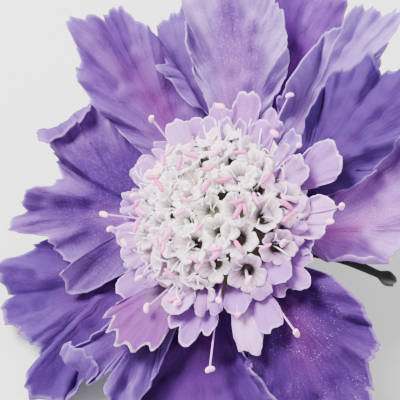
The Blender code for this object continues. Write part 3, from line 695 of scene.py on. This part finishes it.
def floret_finish(name):
    """Waxy white to lilac, with painted shade in dark green down the throat, white along the very edge."""
    finish = Finish(name, {"Roughness": 0.55, "Specular IOR Level": 0.15, "Subsurface Weight": 0.35,
                           "Subsurface Scale": 0.0015, "Subsurface Radius": (1.0, 0.9, 0.85)})
    across, along = finish.mapped()
    colour = finish.attribute("tone", "Color")
    dark = finish.attribute("tone", "Alpha")
    shade = finish.noise(1.6, 2.0)
    colour = finish.mix(0.3 * shade, colour, rgb(236, 184, 214))
    stripes = finish.lines(15 * across + 0.7 * shade, 0.3)
    # Painted shade: greyish green down the throat and near black deep in it, as strong as the tone's fourth
    # number.
    throat = 1 - finish.step(along + 0.12 * (shade - 0.5) - 0.1 * stripes, 0.3, 0.8)
    colour = finish.mix(0.92 * dark * throat, colour, rgb(96, 94, 66))
    depth = 1 - finish.step(along, 0.15, 0.55)
    colour = finish.mix(0.85 * dark * depth, colour, rgb(32, 34, 22))
    colour = finish.mix(0.14 * stripes, colour, rgb(158, 122, 158))
    colour = finish.mix(0.8 * finish.step(along, 0.93, 0.99), colour, rgb(255, 250, 254))
    relief = finish.noise(0.3, 2.0) - 0.5 * stripes
    return finish.made(colour, relief, 0.05, 0.8)


florets.data.materials.append(floret_finish("floret_wax"))
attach(florets, "root")
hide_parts("disc_florets")

# Rim florets.  Round the rim each floret has a wide outer lip, in two ranks that lie over the petal
# claws.  Lips are given as (azimuth, reach, width in degrees, kind, tone, droop in millimetres).
UPPER_ROOT = (8.3, 5.3, 27)
LOWER_ROOT = (9.8, 4.3, 21)
LIP_CLAW = 2.0
LIP_COLUMNS = 52
LIP_ROWS = 14
LIP_THICKNESS = 0.14
# Ruffles of a lip along its margin: the length and height of its waves, its frill and its teeth.
LIP_WAVE = (4.2, 0.45)
LIP_FRILL = (1.7, 0.16)
LIP_TEETH = (1.2, 0.008)
KINDS = {
    "round": [(-0.4, 0.6), (-0.85, 0.72), (-1.0, 0.85), (-0.78, 0.96), (-0.3, 1.01), (0.1, 0.99),
              (0.6, 1.0), (0.97, 0.91), (1.0, 0.8), (0.45, 0.6)],
    "three": [(-0.45, 0.6), (-0.92, 0.72), (-1.0, 0.82), (-0.76, 0.91), (-0.44, 0.87), (-0.34, 0.93),
              (-0.18, 1.0), (0.08, 1.02), (0.3, 0.97), (0.4, 0.88), (0.7, 0.93), (1.0, 0.85),
              (0.95, 0.73), (0.5, 0.6)],
    "wavy": [(-0.45, 0.6), (-0.9, 0.7), (-1.0, 0.84), (-0.72, 0.95), (-0.4, 0.95), (0.0, 0.99),
             (0.36, 1.02), (0.72, 0.97), (1.0, 0.88), (0.9, 0.74), (0.5, 0.6)],
    "small": [(-0.5, 0.66), (-1.0, 0.8), (-0.8, 0.95), (-0.1, 1.02), (0.6, 0.98), (1.0, 0.84), (0.5, 0.66)],
    "pair": [(-0.5, 0.66), (-1.0, 0.8), (-0.85, 0.95), (-0.35, 1.0), (-0.02, 0.9), (0.4, 1.0),
             (0.9, 0.95), (1.0, 0.82), (0.5, 0.66)],
    "toothed": [(-0.55, 0.6), (-0.9, 0.74), (-1.0, 0.88), (-0.86, 0.95), (-0.74, 0.9), (-0.5, 1.0),
                (-0.36, 0.95), (-0.05, 1.03), (0.12, 0.97), (0.4, 1.0), (0.62, 0.91), (0.85, 0.94),
                (1.0, 0.82), (0.6, 0.6)],
}
PALE_LILAC = rgb(154, 94, 176)
WHITE_LILAC = rgb(190, 136, 202)
SHADED_LILAC = rgb(134, 82, 160)
BLUE_LILAC = rgb(132, 96, 180)
ROSE_LILAC = rgb(96, 38, 102)
LOWER_LIPS = [
    (33, 17.6, 24, "wavy", WHITE_LILAC, -0.2), (60, 19.7, 20, "round", PALE_LILAC, -0.1),
    (80, 16.2, 12, "round", BLUE_LILAC, 0.0), (97, 16.8, 17, "wavy", PALE_LILAC, -0.1),
    (112, 18.0, 15, "round", PALE_LILAC, 0.0), (127, 16.4, 17, "wavy", PALE_LILAC, 0.0),
    (146, 15.4, 19, "round", PALE_LILAC, 0.0), (165, 14.8, 18, "wavy", SHADED_LILAC, 0.0),
    (184, 15.2, 20, "round", PALE_LILAC, 0.0), (204, 14.8, 18, "wavy", SHADED_LILAC, 0.0),
    (222, 15.6, 18, "three", PALE_LILAC, 0.1), (240, 15.0, 18, "round", SHADED_LILAC, 0.0),
    (256, 17.6, 19, "round", SHADED_LILAC, 0.2), (273, 22.3, 29, "toothed", ROSE_LILAC, 0.4),
    (298, 18.7, 27, "three", SHADED_LILAC, 0.1), (325, 21.0, 13, "wavy", WHITE_LILAC, 0.3),
    (337, 19.2, 14, "round", PALE_LILAC, 0.1), (0, 17.2, 32, "three", PALE_LILAC, 0.0),
    (17, 15.0, 14, "round", SHADED_LILAC, 0.2),
]
UPPER_COUNT = 19
UPPER_REACH = 14.0
UPPER_KINDS = ["small", "pair", "small", "round", "pair"]
lips_draw = random.Random(11)


def lip(azimuth, reach, width, kind, tone, droop, root):
    """One outer lip: a narrow root that opens into a dished, faintly ruffled blade."""
    margin = Margin([(azimuth + side * 0.5 * width, reach * share) for side, share in KINDS[kind]])
    outward, sideways = directions(azimuth)
    root_reach, root_height, rise = root
    slope = math.tan(math.radians(rise))
    folds = [lips_draw.uniform(0, 2 * math.pi) for _ in range(3)]
    tilt = lips_draw.uniform(-0.6, 0.6)
    arch = lips_draw.uniform(0.2, 1.0)
    roll = lips_draw.uniform(-0.5, 0.9)

    def ruffle(v, length, size):
        return size * ripple(v * margin.lengths[-1], length, folds)

    def surface(u, v):
        start = outward * root_reach + sideways * ((v - 0.5) * LIP_CLAW)[..., None]
        end = margin.at(v) * (1 + ruffle(v, *LIP_TEETH))[..., None]
        place = start + (end - start) * u[..., None]
        distance = np.linalg.norm(place, axis=-1) - root_reach
        side = 2 * v - 1
        height = root_height + slope * distance + 0.7 * u * side ** 2 + arch * np.sin(math.pi * u)
        height = height + smooth_step(0.45, 1.0, u) * ruffle(v, *LIP_WAVE)
        height = height + smooth_step(0.8, 1.0, u) * ruffle(v, *LIP_FRILL)
        height = height + roll * smooth_step(0.75, 1.0, u) - droop * 3.0 * u ** 3 + tilt * side * u
        places = np.concatenate([place, height[..., None]], -1)
        return places, np.clip(0.5 + 0.5 * np.cos(3 * math.pi * side), 0, 1)

    piece = blade("lip", surface, LIP_COLUMNS, LIP_ROWS, LIP_THICKNESS)
    tint(piece, tone)
    return piece


lips = [lip(*values, LOWER_ROOT) for values in LOWER_LIPS]
for number in range(UPPER_COUNT):
    azimuth = 360 * number / UPPER_COUNT + lips_draw.uniform(-5, 5)
    reach = UPPER_REACH + lips_draw.uniform(-0.9, 1.1)
    tone = blended(WHITE_LILAC, PALE_LILAC, lips_draw.random())
    width = lips_draw.uniform(15, 21)
    droop = lips_draw.uniform(-0.15, 0.2)
    kind = UPPER_KINDS[number % len(UPPER_KINDS)]
    lips.append(lip(azimuth, reach, width, kind, tone, droop, UPPER_ROOT))
rim = join("rim_lips", lips)
settle(rim)


def lip_finish():
    """Pale lilac, whiter at the edge and greyish green down at the root, with fine veins."""
    finish = Finish("lip_lilac", VELVET)
    across, along = finish.mapped()
    shade = finish.noise(1.8, 2.0)
    colour = finish.attribute("tone", "Color")
    colour = finish.mix(0.30 * shade, colour, rgb(128, 82, 164))
    root = 1 - finish.step(along, 0.15, 0.6)
    colour = finish.mix(0.7 * root, colour, rgb(130, 110, 126))
    veins = finish.lines(9 * across + 1.2 * shade, 0.14)
    colour = finish.mix(0.12 * veins, colour, rgb(110, 64, 150))
    colour = finish.mix(0.45 * finish.step(along, 0.95, 0.99), colour, rgb(236, 206, 240))
    relief = finish.noise(0.3, 2.0) - 0.6 * veins
    return finish.made(colour, relief, 0.07, 0.9)


rim.data.materials.append(lip_finish())
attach(rim, "root")
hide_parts("disc_florets")

# Stamens.  Thin white filaments stand out of the open florets and carry rose anthers, little grooved
# rods pinned at their middle.  Each is given as (azimuth, angle to the pole, turn), all in degrees.
STAMENS = [
    (115, 30, 40), (113, 18, 10), (100, 9, 70), (82, 19, 60), (37, 21, 100), (22, 22, 170), (31, 25, 20),
    (327, 26, 165), (302, 29, 170), (308, 34, 60), (264, 31, 130), (253, 34, 160), (212, 44, 120),
    (218, 40, 60), (229, 42, 150), (187, 36, 110), (191, 27, 60), (158, 30, 40), (144, 32, 150),
    (141, 38, 80), (92, 35, 30), (60, 40, 120), (37, 48, 60), (30, 52, 140), (42, 31, 20), (200, 9, 80),
    (329, 29, 30), (262, 22, 110), (280, 43, 150), (285, 62, 30), (170, 44, 70), (160, 37, 20),
    (350, 33, 80), (4, 44, 150), (310, 13, 45), (240, 12, 100),
]
STAMEN_LIFT = 2.4
FILAMENT_RADIUS = 0.095
BARE_FILAMENTS = 3
stamens_draw = random.Random(3)


def threads(name, routes, radius):
    """Thin round threads along lists of points, with closed ends."""
    curve = bpy.data.curves.new(name, "CURVE")
    curve.dimensions = "3D"
    curve.bevel_depth = radius
    curve.bevel_resolution = 2
    curve.resolution_u = 4
    curve.use_fill_caps = True
    for route in routes:
        spline = curve.splines.new("NURBS")
        spline.points.add(len(route) - 1)
        for point, place in zip(spline.points, route):
            point.co = (*place, 1.0)
        spline.order_u = 4
        spline.use_endpoint_u = True
    thing = added(name, curve)
    bpy.ops.object.select_all(action="DESELECT")
    thing.select_set(True)
    bpy.context.view_layer.objects.active = thing
    bpy.ops.object.convert(target="MESH")
    bpy.ops.object.shade_smooth()
    return bpy.context.active_object


def grain_of(name, size, bend, groove):
    """A little rounded rod, bent along its length and grooved along one side."""
    bpy.ops.mesh.primitive_uv_sphere_add(segments=14, ring_count=10, radius=1)
    rod = bpy.context.active_object
    rod.name = rod.data.name = name
    for vertex in rod.data.vertices:
        x, y, z = vertex.co
        ends = max(1.0 - z * z, 0.0) ** 0.28 / max(1.0 - z * z, 1e-6) ** 0.5
        x *= ends
        y *= ends
        x -= groove * math.exp(-(y / 0.3) ** 2) * (1.0 if x > 0 else 0.0) * (1 - z * z)
        vertex.co = (x * size[0] + bend * z * z, y * size[1], z * size[2])
    bpy.ops.object.shade_smooth()
    return rod


def thread_finish(name, first, second):
    """Smooth thin threads, clouded with a second colour."""
    finish = Finish(name, {"Roughness": 0.45, "Subsurface Weight": 0.3, "Subsurface Scale": 0.001})
    finish.coat({"Base Color": finish.mix(finish.noise(1.5), first, second)})
    return finish.material


DEEP_ROSE = rgb(188, 34, 136)
LIGHT_ROSE = rgb(222, 98, 190)
rod = grain_of("anther", size=(0.36, 0.32, 1.15), bend=0.16, groove=0.4)
rods, routes = [], []
for azimuth, angle, turn in STAMENS:
    azimuth, angle = math.radians(azimuth), math.radians(angle)
    normal = Vector(dome_normal(angle, azimuth))
    lift = STAMEN_LIFT + stamens_draw.uniform(-0.7, 0.6)
    top = Vector(dome_point(angle, azimuth, lift))
    foot_angle = angle * stamens_draw.uniform(0.8, 0.95)
    foot = Vector(dome_point(foot_angle, azimuth + stamens_draw.uniform(-0.12, 0.12), -1.2))
    middle = foot.lerp(top, 0.55) + 0.5 * normal
    routes.append([foot, middle, top - 0.1 * normal, top])
    across = normal.cross(Vector((0, 0, 1))).normalized() if angle > 0.05 else Vector((1, 0, 0))
    direction = Matrix.Rotation(math.radians(turn), 3, normal) @ across
    direction = (direction + normal * stamens_draw.uniform(-0.2, 0.5)).normalized()
    tone = blended(DEEP_ROSE, LIGHT_ROSE, stamens_draw.random())
    size = stamens_draw.uniform(0.8, 1.15)
    rods.append(copy_of(rod, aim(direction, top, stamens_draw.uniform(0, 6.28), size), tone))
bpy.data.objects.remove(rod)
anthers = join("anthers", rods)
settle(anthers)
pollen = Finish("anther_rose", {"Roughness": 0.5, "Subsurface Weight": 0.2, "Subsurface Scale": 0.001})
speck = pollen.noise(0.25, 2.0)
rose = pollen.mix(0.3 * speck, pollen.attribute("tone", "Color"), rgb(250, 186, 232))
anthers.data.materials.append(pollen.made(rose, speck, 0.06))
for angle, azimuth in floret_places:
    normal = Vector(dome_normal(angle, azimuth))
    for _ in range(BARE_FILAMENTS):
        aside = Vector([stamens_draw.uniform(-1, 1) for _ in range(3)]).cross(normal).normalized()
        foot = Vector(dome_point(angle, azimuth, -1.0)) + 0.4 * aside
        height = stamens_draw.uniform(1.8, 3.4)
        bend = stamens_draw.uniform(0.6, 1.7)
        tip = foot + height * normal + bend * aside
        hook = tip + (0.5 * aside - stamens_draw.uniform(-0.5, 0.9) * normal)
        routes.append([foot, foot + 0.6 * height * normal, tip, hook])
filaments = threads("filaments", routes, FILAMENT_RADIUS)
settle(filaments)
filaments.data.materials.append(
    thread_finish("thread_white", rgb(246, 238, 246), rgb(232, 214, 236)))
for piece in (anthers, filaments):
    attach(piece, "root")
    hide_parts("disc_florets")

# Styles.  Longer lilac threads with a slanting white knob stand out past the rim like pins in a
# cushion.  Each knob is given as (azimuth, reach, height).
STYLES = [
    (161, 16.7, 10), (217, 15.6, 10), (92, 19.5, 10), (84, 14, 11), (71, 15.5, 10), (37, 19, 9),
    (12, 12.7, 11), (344, 21.5, 8), (309, 22, 8), (289, 13.5, 9), (274, 16, 9), (261, 13.5, 10),
    (236, 13, 10), (205, 11, 11), (317, 13, 10), (325, 15.5, 9), (340, 12.5, 11), (123, 15, 10),
    (30, 17.5, 9), (226, 14.5, 10.5),
]
STYLE_RADIUS = 0.13
KNOB_WHITE = rgb(248, 196, 230)
KNOB_PINK = rgb(236, 146, 206)
styles_draw = random.Random(5)
rod = grain_of("knob", size=(0.36, 0.4, 0.66), bend=0.14, groove=0.15)
rods, routes = [], []
for azimuth, reach, height in STYLES:
    knob = Vector((*polar(azimuth, reach), height))
    foot = Vector((*polar(azimuth, min(9.5, 0.55 * reach)), 5.0))
    direction = (knob - foot).normalized()
    sway = Vector([styles_draw.uniform(-0.8, 0.8) for _ in range(3)])
    routes.append([foot, foot.lerp(knob, 0.4) + 0.4 * sway, foot.lerp(knob, 0.75) + 0.3 * sway, knob])
    slant = (direction + 1.3 * Vector([styles_draw.uniform(-1, 1) for _ in range(3)])).normalized()
    tone = blended(KNOB_WHITE, KNOB_PINK, styles_draw.random())
    rods.append(copy_of(rod, aim(slant, knob, 0.0, styles_draw.uniform(0.9, 1.15)), tone))
bpy.data.objects.remove(rod)
knobs = join("stigma_knobs", rods)
settle(knobs)
knobs.data.materials.append(pollen.material)
stalks = threads("styles", routes, STYLE_RADIUS)
settle(stalks)
stalks.data.materials.append(thread_finish("thread_lilac", rgb(216, 140, 222), rgb(176, 104, 196)))
for piece in (knobs, stalks):
    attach(piece, "root")
    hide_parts("disc_florets")

# Stem and cup.  A wiry, finely ribbed green stem widens into the cup that carries the head.  It is
# cut at a slant, and bends from the leaning head down to the surface that it lies on.
STEM_RADIUS = 1.3
STEM_BEND_RADIUS = 19.0
STEM_STRAIGHT = 95.0
STEM_SWAY = 3.0
CUT_SLANT = 0.7
CUP_FOOT = -6.0
CUP_PROFILE = [(1.3, -6.0), (1.8, -5.2), (2.8, -4.0), (5.0, -2.6), (7.6, -1.5), (8.8, -0.8), (8.8, -0.4)]
STEM_SIDES = 54
BEND_STEPS = 24
FLOOR_STEPS = 70
RIBS = 9
RIB_HEIGHT = 0.07
CUP_SIDES = 72
CUP_RINGS = 23
CUP_RIBS = 18
CUP_GROOVE = 0.02


def stem_route():
    """Centre line of the stem in the world: out of the cup, round the bend, along the floor."""
    axis = np.array([0.0, -math.sin(HEAD_TILT), math.cos(HEAD_TILT)])
    start = np.array(HEAD_PLACE) + axis * CUP_FOOT
    drop_angle = math.pi / 2 - HEAD_TILT
    bend_height = STEM_BEND_RADIUS * (1.0 - math.cos(drop_angle))
    straight_drop = start[2] - STEM_RADIUS - bend_height
    bend_start = start - axis * (straight_drop / math.sin(drop_angle))
    points = [start + axis * 2.5, start]
    for angle in np.linspace(0.0, drop_angle, BEND_STEPS):
        back = STEM_BEND_RADIUS * (math.sin(drop_angle) - math.sin(drop_angle - angle))
        down = STEM_BEND_RADIUS * (math.cos(drop_angle - angle) - math.cos(drop_angle))
        points.append(bend_start + np.array([0.0, back, -down]))
    floor_start = points[-1]
    for share in np.linspace(0.0, 1.0, FLOOR_STEPS)[1:]:
        sway = STEM_SWAY * math.sin(math.pi * 0.9 * share) * share
        points.append(np.array([HEAD_PLACE.x - sway, floor_start[1] + STEM_STRAIGHT * share, STEM_RADIUS]))
    return np.array(points)


route = stem_route()
forward = np.gradient(route, axis=0)
forward /= np.linalg.norm(forward, axis=1)[:, None]
right = np.cross(forward, [0.0, 0.0, 1.0])
right = right / np.linalg.norm(right, axis=1)[:, None]
upward = np.cross(right, forward)


def tube(name, sides, cuts):
    """A closed cylinder of unit size with rings cut into it."""
    bpy.ops.mesh.primitive_cylinder_add(vertices=sides, radius=1, depth=1, end_fill_type="NGON")
    thing = bpy.context.active_object
    thing.name = thing.data.name = name
    bpy.ops.object.mode_set(mode="EDIT")
    bpy.ops.mesh.select_mode(type="EDGE")
    bpy.ops.mesh.select_all(action="DESELECT")
    bpy.ops.object.mode_set(mode="OBJECT")
    for edge in thing.data.edges:
        ends = [thing.data.vertices[index].co.z for index in edge.vertices]
        edge.select = abs(ends[0] - ends[1]) > 0.5
    bpy.ops.object.mode_set(mode="EDIT")
    bpy.ops.mesh.subdivide_edgering(number_cuts=cuts, interpolation="LINEAR")
    bpy.ops.object.mode_set(mode="OBJECT")
    return thing


last = len(route) - 1
stem = tube("ribbed_stem", STEM_SIDES, last - 1)
for vertex in stem.data.vertices:
    step = round((vertex.co.z + 0.5) * last)
    turn = math.atan2(vertex.co.y, vertex.co.x)
    radius = STEM_RADIUS - RIB_HEIGHT * (0.5 - 0.5 * math.cos(RIBS * turn))
    radius *= 0.98 - 0.02 * math.sin(0.7 * step)
    place = route[step] + radius * (right[step] * math.cos(turn) + upward[step] * math.sin(turn))
    if step == last:
        place[1] += CUT_SLANT * (place[2] - STEM_RADIUS)
    vertex.co = Vector(place)
bpy.ops.object.shade_smooth_by_angle(angle=math.radians(50))
stem.data.transform(Matrix.Scale(MM, 4))

cup = tube("ribbed_cup", CUP_SIDES, CUP_RINGS)
radii, heights = np.array(CUP_PROFILE).T
for vertex in cup.data.vertices:
    height = CUP_FOOT + (vertex.co.z + 0.5) * (heights[-1] - CUP_FOOT)
    turn = math.atan2(vertex.co.y, vertex.co.x)
    groove = CUP_GROOVE * (0.5 - 0.5 * math.cos(CUP_RIBS * turn))
    radius = np.interp(height, heights, radii) * (1.0 - groove)
    vertex.co = (radius * math.cos(turn), radius * math.sin(turn), height)
bpy.ops.object.shade_smooth_by_angle(angle=math.radians(50))
settle(cup)


def green_finish(name, dark, light, tip=None):
    """Matt green, a little blotched, with a fine grained relief; a bract's tip withers to brown."""
    finish = Finish(name, {"Roughness": 0.6, "Specular IOR Level": 0.35, "Sheen Weight": 0.15})
    blotch = finish.noise(2.6, 4.0)
    grain = finish.noise(0.4, 2.0)
    colour = finish.mix(finish.step(blotch, 0.3, 0.7), dark, light)
    if tip is not None:
        across, along = finish.mapped()
        colour = finish.mix(finish.step(along + 0.2 * (blotch - 0.5), 0.84, 0.95), colour, tip)
    return finish.made(colour, grain + blotch, 0.12, 0.8)


stem_green = green_finish("stem_green", rgb(54, 78, 38), rgb(92, 116, 64))
for piece in (stem, cup):
    piece.data.materials.append(stem_green)
    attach(piece, "root")
    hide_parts("stem_cup_bracts")

# Bracts.  Two rows of narrow pointed green blades under the petals, keeled along the middle and
# grown out of the cup; their thin tips wither brown.
BRACT_COUNT = 12
FIRST_BRACT = 18
LONG_BRACT = (25.0, 3.4, -1.45)
SHORT_BRACT = (19.0, 2.8, -1.75)
BRACT_ROOT = 5.0
BRACT_COLUMNS = 12
BRACT_ROWS = 40
BRACT_THICKNESS = 0.25
bracts = []
for number in range(BRACT_COUNT):
    azimuth = FIRST_BRACT + 360 * number / BRACT_COUNT
    reach, width, base_height = SHORT_BRACT if number % 2 else LONG_BRACT
    outward, sideways = directions(azimuth)

    def bract_surface(u, v):
        side = 2.0 * v - 1.0
        half = 0.5 * width * (0.62 + 0.2 * np.sin(math.pi * np.minimum(1.6 * u, 1.0))) * (1.0 - 0.6 * u)
        half = half + 0.55 * smooth_step(0.86, 0.94, u) * (1.0 - 0.7 * smooth_step(0.95, 1.0, u))
        middle = outward * (BRACT_ROOT + (reach - BRACT_ROOT) * u)[..., None]
        place = middle + sideways * (side * half + 0.9 * np.sin(math.pi * u))[..., None]
        droop = 0.05 * (np.linalg.norm(place, axis=-1) - BRACT_ROOT)
        keel = 0.35 * np.abs(side) * (1.0 - 0.5 * u)
        keel = keel + 0.5 * smooth_step(0.84, 1.0, u) * np.sin(7 * v + number)
        height = base_height - droop + keel + 0.1 * np.sin(14 * u + number)
        return np.concatenate([place, height[..., None]], -1), np.abs(side)

    bracts.append(blade("bract", bract_surface, BRACT_COLUMNS, BRACT_ROWS, BRACT_THICKNESS))
bracts = join("bracts", bracts)
settle(bracts)
bracts.data.materials.append(green_finish("bract_green", rgb(16, 26, 20), rgb(34, 50, 32), rgb(46, 42, 40)))
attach(bracts, "root")
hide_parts("stem_cup_bracts")

# Hairs.  The upper stem and the cup are downy with short white hairs that stand straight out.
HAIR_COUNT = 420
HAIR_LENGTH = 0.9
HAIR_MIDDLE = (0, 0, 0.4)
LOWEST_TIP = 0.2
hairs_draw = random.Random(17)
bpy.ops.mesh.primitive_cone_add(
    vertices=3, radius1=0.035, radius2=0.008, depth=HAIR_LENGTH, location=HAIR_MIDDLE)
hair = bpy.context.active_object
bpy.ops.object.transform_apply(location=True)
hairs = []
for number in range(HAIR_COUNT):
    step = min(int(len(route) * hairs_draw.random() ** 1.6), last - 1)
    turn = hairs_draw.uniform(0, 2 * math.pi)
    outward = right[step] * math.cos(turn) + upward[step] * math.sin(turn)
    place = route[step] + STEM_RADIUS * 0.95 * outward
    if place[2] + HAIR_LENGTH * outward[2] < LOWEST_TIP:
        continue
    lean = outward + np.array([hairs_draw.uniform(-0.3, 0.3) for _ in range(3)])
    hairs.append(copy_of(hair, aim(lean, place, 0.0, hairs_draw.uniform(0.6, 1.1)), rgb(225, 232, 215)))
bpy.data.objects.remove(hair)
hairs = join("stem_hairs", hairs)
hairs.data.transform(Matrix.Scale(MM, 4))
down = Finish("hair_white", {"Roughness": 0.5})
down.coat({"Base Color": down.mix(down.noise(2.0), rgb(226, 232, 216), rgb(196, 206, 178))})
hairs.data.materials.append(down.material)
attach(hairs, "root")
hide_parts("stem_cup_bracts")

# Floor, light and camera.  A plain pale floor and soft studio light, seen from the photo's side.
bpy.ops.mesh.primitive_plane_add(size=4)
floor = bpy.context.active_object
floor.name = "floor"
paper = Finish("floor_pale", {"Roughness": 0.9, "Base Color": rgb(204, 204, 202)})
floor.data.materials.append(paper.material)

world = bpy.data.worlds.new("studio")
bpy.context.scene.world = world
world.use_nodes = True
sky = world.node_tree.nodes["Background"]
sky.inputs["Color"].default_value = (0.93, 0.95, 1.0, 1.0)
sky.inputs["Strength"].default_value = 1.2
for name, place, size, power in (("key_light", (-0.25, -0.2, 0.5), 0.3, 15.0),
                                 ("fill_light", (0.2, 0.25, 0.4), 0.5, 3.0)):
    light = bpy.data.lights.new(name, "AREA")
    light.shape = "DISK"
    light.size = size
    light.energy = power
    lamp = added(name, light)
    lamp.location = place
    toward = HEAD_PLACE * MM - Vector(place)
    lamp.rotation_euler = toward.to_track_quat("-Z", "Y").to_euler()

CAMERA_AZIMUTH = math.radians(44.4)
CAMERA_HEIGHT = math.radians(51.2)
CAMERA_DISTANCE = 280.0
CAMERA_LENS = 176.4
SENSOR_WIDTH = 36.0
# How far the middle of the photo lies from the middle of the head: to the right and up.
PHOTO_SHIFT = (-4.57, 4.0)
side = Vector((math.cos(CAMERA_AZIMUTH), math.sin(CAMERA_AZIMUTH), 0.0))
back = Vector((math.sin(CAMERA_AZIMUTH) * math.cos(CAMERA_HEIGHT),
               -math.cos(CAMERA_AZIMUTH) * math.cos(CAMERA_HEIGHT), math.sin(CAMERA_HEIGHT)))
above = back.cross(side)
lens = bpy.data.cameras.new("camera")
lens.lens = CAMERA_LENS
lens.sensor_width = SENSOR_WIDTH
lens.clip_start = 0.01
camera = added("camera", lens)
eye = HEAD_PLACE + PHOTO_SHIFT[0] * side + PHOTO_SHIFT[1] * above + CAMERA_DISTANCE * back
camera.matrix_world = Matrix.Translation(eye * MM) @ Matrix((side, above, back)).transposed().to_4x4()
bpy.context.scene.camera = camera
